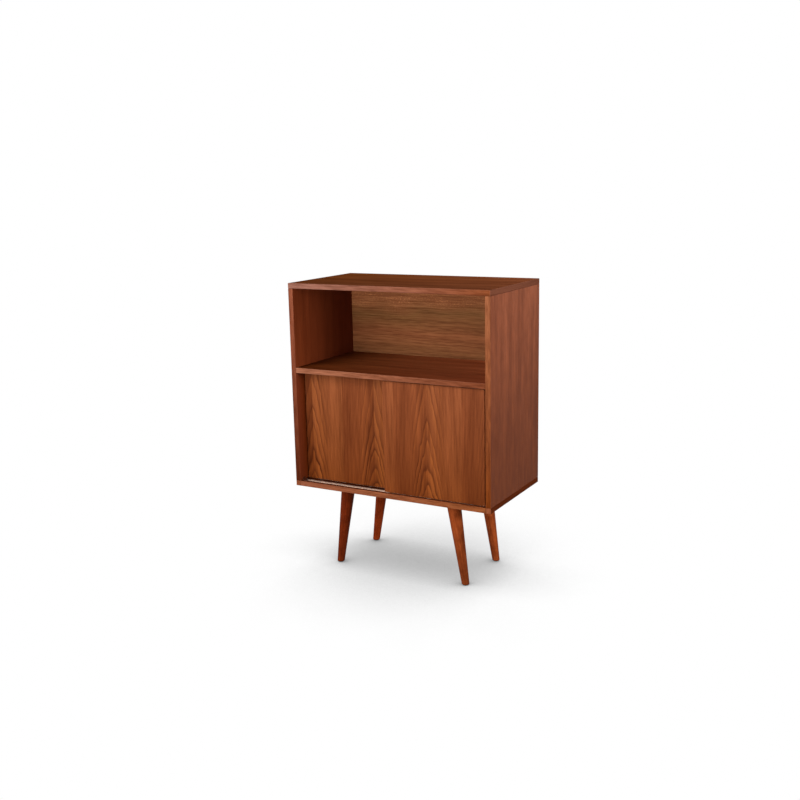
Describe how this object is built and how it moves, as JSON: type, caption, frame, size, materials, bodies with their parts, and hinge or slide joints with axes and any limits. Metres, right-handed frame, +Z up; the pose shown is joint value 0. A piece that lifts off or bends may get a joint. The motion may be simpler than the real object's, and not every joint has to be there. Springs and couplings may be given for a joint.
{
  "type": "highboard",
  "caption": "Veneered highboard on splayed tapered legs, with an open niche over a compartment that is shut by sliding doors.",
  "frame": {"origin": "on the floor, under the middle of the body", "axes": "+X to the right seen from the front, +Y to the back, +Z up"},
  "size_m": [0.75, 0.4, 1],
  "materials": {
    "carcass_veneer": "satin lacquered veneer, reddish brown",
    "door_veneer": "satin lacquered veneer, book-matched, grain upright",
    "back_veneer": "satin lacquered veneer, grain across",
    "leg_wood": "satin lacquered solid wood, stained",
    "dowel_wood": "plain beech",
    "track_aluminium": "satin",
    "zinc_steel": "zinc plated",
    "dark_plastic": "matt",
    "brown_plastic": "matt",
    "nylon": "satin, dark brown"
  },
  "bodies": {
    "root": {"top_panel": "carcass_veneer", "bottom_panel": "carcass_veneer", "left_side": "carcass_veneer", "right_side": "carcass_veneer", "middle_shelf": "carcass_veneer", "back_panel": "back_veneer", "dowel_bottom_left_front": "dowel_wood", "dowel_bottom_left_rear": "dowel_wood", "dowel_bottom_right_front": "dowel_wood", "dowel_bottom_right_rear": "dowel_wood", "dowel_top_left_front": "dowel_wood", "dowel_top_left_rear": "dowel_wood", "dowel_top_right_front": "dowel_wood", "dowel_top_right_rear": "dowel_wood", "front_track": "track_aluminium", "front_track_stop_left": "brown_plastic", "front_track_stop_right": "brown_plastic", "rear_track": "track_aluminium", "rear_track_stop_left": "brown_plastic", "rear_track_stop_right": "brown_plastic", "front_guide_channel": "track_aluminium", "rear_guide_channel": "track_aluminium", "leg_front_left": "leg_wood", "leg_front_right": "leg_wood", "leg_rear_left": "leg_wood", "leg_rear_right": "leg_wood", "leg_plate_front_left": "zinc_steel", "leg_plate_front_right": "zinc_steel", "leg_plate_rear_left": "zinc_steel", "leg_plate_rear_right": "zinc_steel", "hanger_bolt_front_left": "zinc_steel", "hanger_bolt_front_right": "zinc_steel", "hanger_bolt_rear_left": "zinc_steel", "hanger_bolt_rear_right": "zinc_steel", "plate_screw_front_left_1": "zinc_steel", "plate_screw_front_left_2": "zinc_steel", "plate_screw_front_left_3": "zinc_steel", "plate_screw_front_right_1": "zinc_steel", "plate_screw_front_right_2": "zinc_steel", "plate_screw_front_right_3": "zinc_steel", "plate_screw_rear_left_1": "zinc_steel", "plate_screw_rear_left_2": "zinc_steel", "plate_screw_rear_left_3": "zinc_steel", "plate_screw_rear_right_1": "zinc_steel", "plate_screw_rear_right_2": "zinc_steel", "plate_screw_rear_right_3": "zinc_steel", "foot_pad_front_left": "dark_plastic", "foot_pad_front_right": "dark_plastic", "foot_pad_rear_left": "dark_plastic", "foot_pad_rear_right": "dark_plastic"},
    "left_door": {"left_door": "door_veneer", "left_door_glide_left": "nylon", "left_door_glide_right": "nylon", "left_door_guide_pin_left": "nylon", "left_door_guide_pin_right": "nylon"},
    "right_door": {"right_door": "door_veneer", "right_door_glide_left": "nylon", "right_door_glide_right": "nylon", "right_door_guide_pin_left": "nylon", "right_door_guide_pin_right": "nylon"}
  },
  "joints": [
    {"name": "left_door_slide", "type": "slide", "parent": "root", "child": "left_door", "axis": [1, 0, 0], "range_m": [0, 0.338]},
    {"name": "right_door_slide", "type": "slide", "parent": "root", "child": "right_door", "axis": [1, 0, 0], "range_m": [-0.333, 0]}
  ]
}
